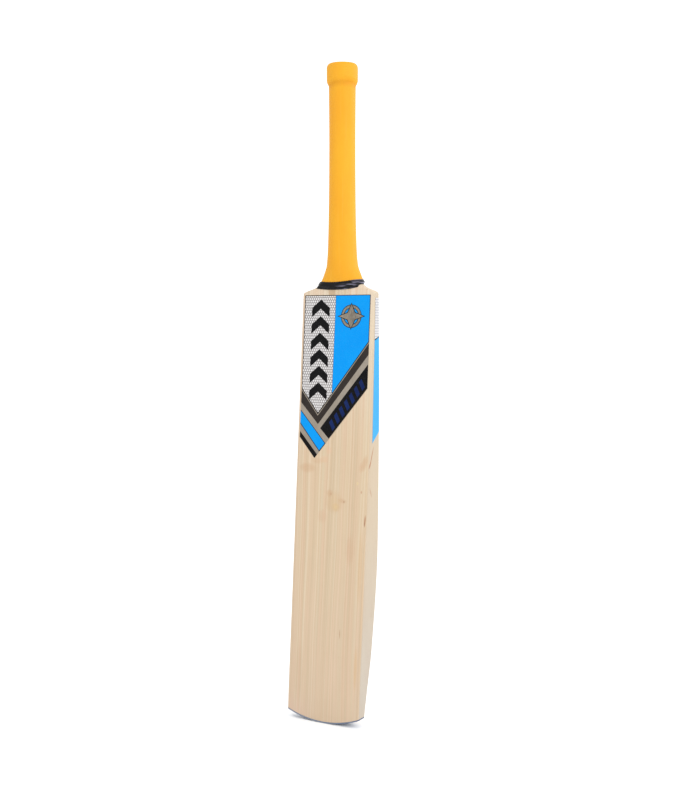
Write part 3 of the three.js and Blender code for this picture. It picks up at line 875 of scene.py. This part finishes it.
panel_edge = [(-49.8, 554), (-50.1, 431), (-24.2, 398.2), (48, 493.5), (48, 554)]
face_print("face_label_border", [panel_edge], BLACK, 1)
mesh_panel = [(-48.9, 553.1), (-49.4, 432), (-24.2, 400.5), (-4.2, 426.2), (-3.3, 553.1)]
face_print("face_label_mesh_panel", [mesh_panel], MESH_ON_FACE, 2)
blue_panel = [(-2.9, 553.3), (-3.8, 426.9), (47.2, 494.3), (47.2, 553.3)]
face_print("face_label_blue_panel", [blue_panel], BLUE, 2)

chevron = [
    (-50.3, 429.6), (-50.4, 413.6), (-23.4, 385.6), (48.1, 477.1), (48.1, 491.9), (-24.2, 396.6),
]
face_print("face_label_chevron", [chevron], BRONZE, 1)
black_bar = [(-19.8, 380.4), (-6.3, 367.2), (48.1, 434), (48.1, 465)]
face_print("face_label_black_bar", [black_bar], BLACK, 1)
bar_edge = [(-50.4, 403.6), (-50.5, 385.4), (-19.9, 349.8), (-10.8, 360.9)]
face_print("face_label_bar_edge", [bar_edge], BLACK, 1)
blue_bar = [(-50.3, 402.2), (-50.4, 386.9), (-20, 351.4), (-12, 361)]
face_print("face_label_blue_bar", [blue_bar], BLUE, 2)
corner_bar = [(-50.4, 375.5), (-50.5, 367.9), (-26.9, 341.2), (-23, 346)]
face_print("face_label_corner_bar", [corner_bar], BLACK, 1)


def chevrons(first, last, low, high, count, share, rise):
    """A column of chevrons pointing up, each as two leaning bars."""
    pitch = (high - low - rise) / count
    tall, middle, bars = pitch * share, (first + last) / 2, []
    for z in (low + pitch * i for i in range(count)):
        peak = z + rise
        bars.append([(first, z), (middle, peak), (middle, peak + tall), (first, z + tall)])
        bars.append([(last, z), (middle, peak), (middle, peak + tall), (last, z + tall)])
    return bars


face_print("face_label_chevrons", chevrons(-38.6, -11.8, 417, 558, 6, 0.56, 11), BLACK, 3)


def dashes(start, end, count, length, width, slant):
    """Short slanted dashes in a row from start to end."""
    run = Vector(end) - Vector(start)
    along, across = run.normalized(), Vector((-run.y, run.x)).normalized()
    found = []
    for i in range(count):
        middle = Vector(start) + run * (i / (count - 1))
        corner = lambda a, b: middle + along * (a * length / 2 + b * slant) + across * (b * width / 2)
        found.append([tuple(corner(a, b)) for a, b in ((-1, -1), (1, -1), (1, 1), (-1, 1))])
    return found


face_print("face_label_dashes", dashes((-2, 385.5), (40, 438.5), 7, 6, 11, 2.5), NAVY, 2)


def ring_of(centre, radius, inner):
    """A flat ring, as short quads."""
    around = [(math.cos(t), math.sin(t)) for t in np.linspace(0, 2 * math.pi, 49)]
    at = lambda point, size: (centre[0] + point[0] * size, centre[1] + point[1] * size)
    pairs = zip(around, around[1:])
    return [[at(a, inner), at(b, inner), at(b, radius), at(a, radius)] for a, b in pairs]


def star(centre, reach, waist):
    """A four-pointed compass star, a little wider than it is tall."""
    points = []
    for k in range(8):
        radius, angle = reach * (1 if k % 2 == 0 else waist), k * math.pi / 4
        rise = 0.85 * radius * math.sin(angle)
        points.append((centre[0] + radius * math.cos(angle), centre[1] + rise))
    return [points]


EMBLEM = (20.6, 526.5)
face_print("face_emblem_edge", ring_of(EMBLEM, 15.2, 10.4), BLACK, 3)
face_print("face_emblem_ring", ring_of(EMBLEM, 14.3, 11.3), BADGE, 4)
face_print("face_emblem_star_edge", star(EMBLEM, 20.5, 0.42), BLACK, 5)
face_print("face_emblem_star", star(EMBLEM, 18.3, 0.4), BADGE, 6)


def edge_label(side, sign):
    """The label on one side: honeycomb above, a black line, and blue down to a slanted end."""
    place = on_side(sign)
    front_top, front_low = (-9.0, 550), (-17.0, 363.4)
    line_front, line_back = (-11.3, 496.0), (3.9, 501.3)
    back_top, back_low = (3.7, 550), (4.6, 380.3)
    cuts_u = [*np.arange(-16, -1.5, 2.5), *np.arange(-1, 5, 0.5)]
    cuts_v = np.arange(372, 550, 12)
    lower = [front_low, back_low, line_back, line_front]
    upper = [line_front, line_back, back_top, front_top]
    line = [(line_front[0], 495.4), (line_back[0], 500.7), (line_back[0], 502), (line_front[0], 496.7)]
    whole = [front_low, back_low, back_top, front_top]
    base = sheet("base", [whole], place, FILM_LIFT, FILM_THICKNESS, cuts_u, cuts_v)
    add_piece(f"edge_label_{side}_backing", base, SILVER, "label_film", f"edge_label_{side}", sharp=30)
    prints = (("mesh", upper, MESH_ON_SIDE, 0), ("blue", lower, SIDE_BLUE_PAINTED_SHEEN, 0), ("line", line, BLACK, 1))
    for name, outline, material, layer in prints:
        lift = FILM_LIFT + FILM_THICKNESS + layer * PRINT_THICKNESS
        mesh = sheet(name, [outline], place, lift, PRINT_THICKNESS, cuts_u, cuts_v)
        add_piece(f"edge_label_{side}_{name}", mesh, material, "label_film", sharp=30)


edge_label("right", 1)
edge_label("left", -1)


def back_label(side, sign):
    """The label on one half of the back, in the same fields as the face's."""
    inner, outer, top = 9.6, 38.2, 540
    cuts_u = [sign * x for x in np.arange(10, 38, 1.6)]
    cuts_v = np.arange(368, 540, 8)
    low = lambda x: 392 - 26 * (outer - x) / (outer - inner)
    band = lambda lift_low, lift_high: [
        (sign * x, low(x) + rise) for x, rise in (
            (inner, lift_low), (outer, lift_low), (outer, lift_high), (inner, lift_high),
        )
    ]
    whole = [
        (sign * inner, low(inner)), (sign * outer, low(outer)), (sign * outer, top), (sign * inner, top),
    ]
    base = sheet("base", [whole], on_back, FILM_LIFT, FILM_THICKNESS, cuts_u, cuts_v)
    add_piece(f"back_label_{side}_backing", base, SILVER, "label_film", f"back_label_{side}", sharp=30)
    blue = [
        (sign * (inner + 0.8), low(inner) + 47), (sign * (outer - 0.8), low(outer) + 47),
        (sign * (outer - 0.8), top - 0.8), (sign * (inner + 0.8), top - 0.8),
    ]
    prints = (
        ("black", band(0.4, 9), BLACK), ("blue_bar", band(13, 25), BLUE),
        ("bronze", band(29, 44), BRONZE), ("blue_panel", blue, BLUE),
    )
    lift = FILM_LIFT + FILM_THICKNESS
    for name, outline, material in prints:
        mesh = sheet(name, [outline], on_back, lift, PRINT_THICKNESS, cuts_u, cuts_v)
        add_piece(f"back_label_{side}_{name}", mesh, material, "label_film", sharp=30)


back_label("right", 1)
back_label("left", -1)

# ---- CAD nodes that stay in view ----

KEPT = {"cane_inner": CANE, "spring_strip": SPRING, "twine_binding": TWINE}
for name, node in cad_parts.items():
    for start, material in KEPT.items():
        if name.startswith(start):
            node.data.materials.clear()
            node.data.materials.append(material)

# ---- Floor, light and camera ----

CAMERA_PLACE = Vector((0.78314, -1.37502, TOE_LEVEL + 0.51793))
CAMERA_VIEW = Vector((-0.49639, 0.86607, -0.05933))
SURROUND_LIGHT = 1.31


def floor():
    finish = Finish("pale_floor", 0.9)
    tone = finish.noise((400, 400, 400), 2)
    finish.colour(finish.mix(tone, (292, 292, 292), (296, 296, 296)))
    size, level = 9.0, TOE_LEVEL - 0.0005
    mesh = bpy.data.meshes.new("floor")
    corners = [(a * size, b * size, level) for a, b in ((-1, -1), (1, -1), (1, 1), (-1, 1))]
    mesh.from_pydata(corners, [], [(0, 1, 2, 3)])
    mesh.materials.append(finish.material)
    ground = bpy.data.objects.new("floor", mesh)
    bpy.context.scene.collection.objects.link(ground)


def area_light(name, place, size, power):
    """A soft square lamp aimed at the middle of the bat."""
    lamp = bpy.data.lights.new(name, "AREA")
    lamp.size, lamp.energy = size, power
    holder = bpy.data.objects.new(name, lamp)
    bpy.context.scene.collection.objects.link(holder)
    holder.location = place
    aim = Vector((0, 0, -0.25)) - Vector(place)
    holder.rotation_euler = aim.to_track_quat("-Z", "Y").to_euler()


floor()
area_light("key", (2.6, -1.0, 1.1), 1.6, 32)
area_light("front", (-0.9, -2.6, 0.7), 1.8, 5)
area_light("back", (2.3, 2.1, 0.9), 1.2, 20)

scene = bpy.context.scene
world = bpy.data.worlds.new("studio")
world.use_nodes = True
world.node_tree.nodes["Background"].inputs["Color"].default_value = (1, 1, 1, 1)
world.node_tree.nodes["Background"].inputs["Strength"].default_value = SURROUND_LIGHT
scene.world = world
scene.view_settings.view_transform = "Standard"
scene.view_settings.look = "None"

camera = bpy.data.objects.new("camera", bpy.data.cameras.new("camera"))
scene.collection.objects.link(camera)
camera.data.lens = 55
camera.data.sensor_width = 36
camera.data.clip_end = 100
camera.location = CAMERA_PLACE
camera.rotation_euler = CAMERA_VIEW.to_track_quat("-Z", "Y").to_euler()
scene.camera = camera
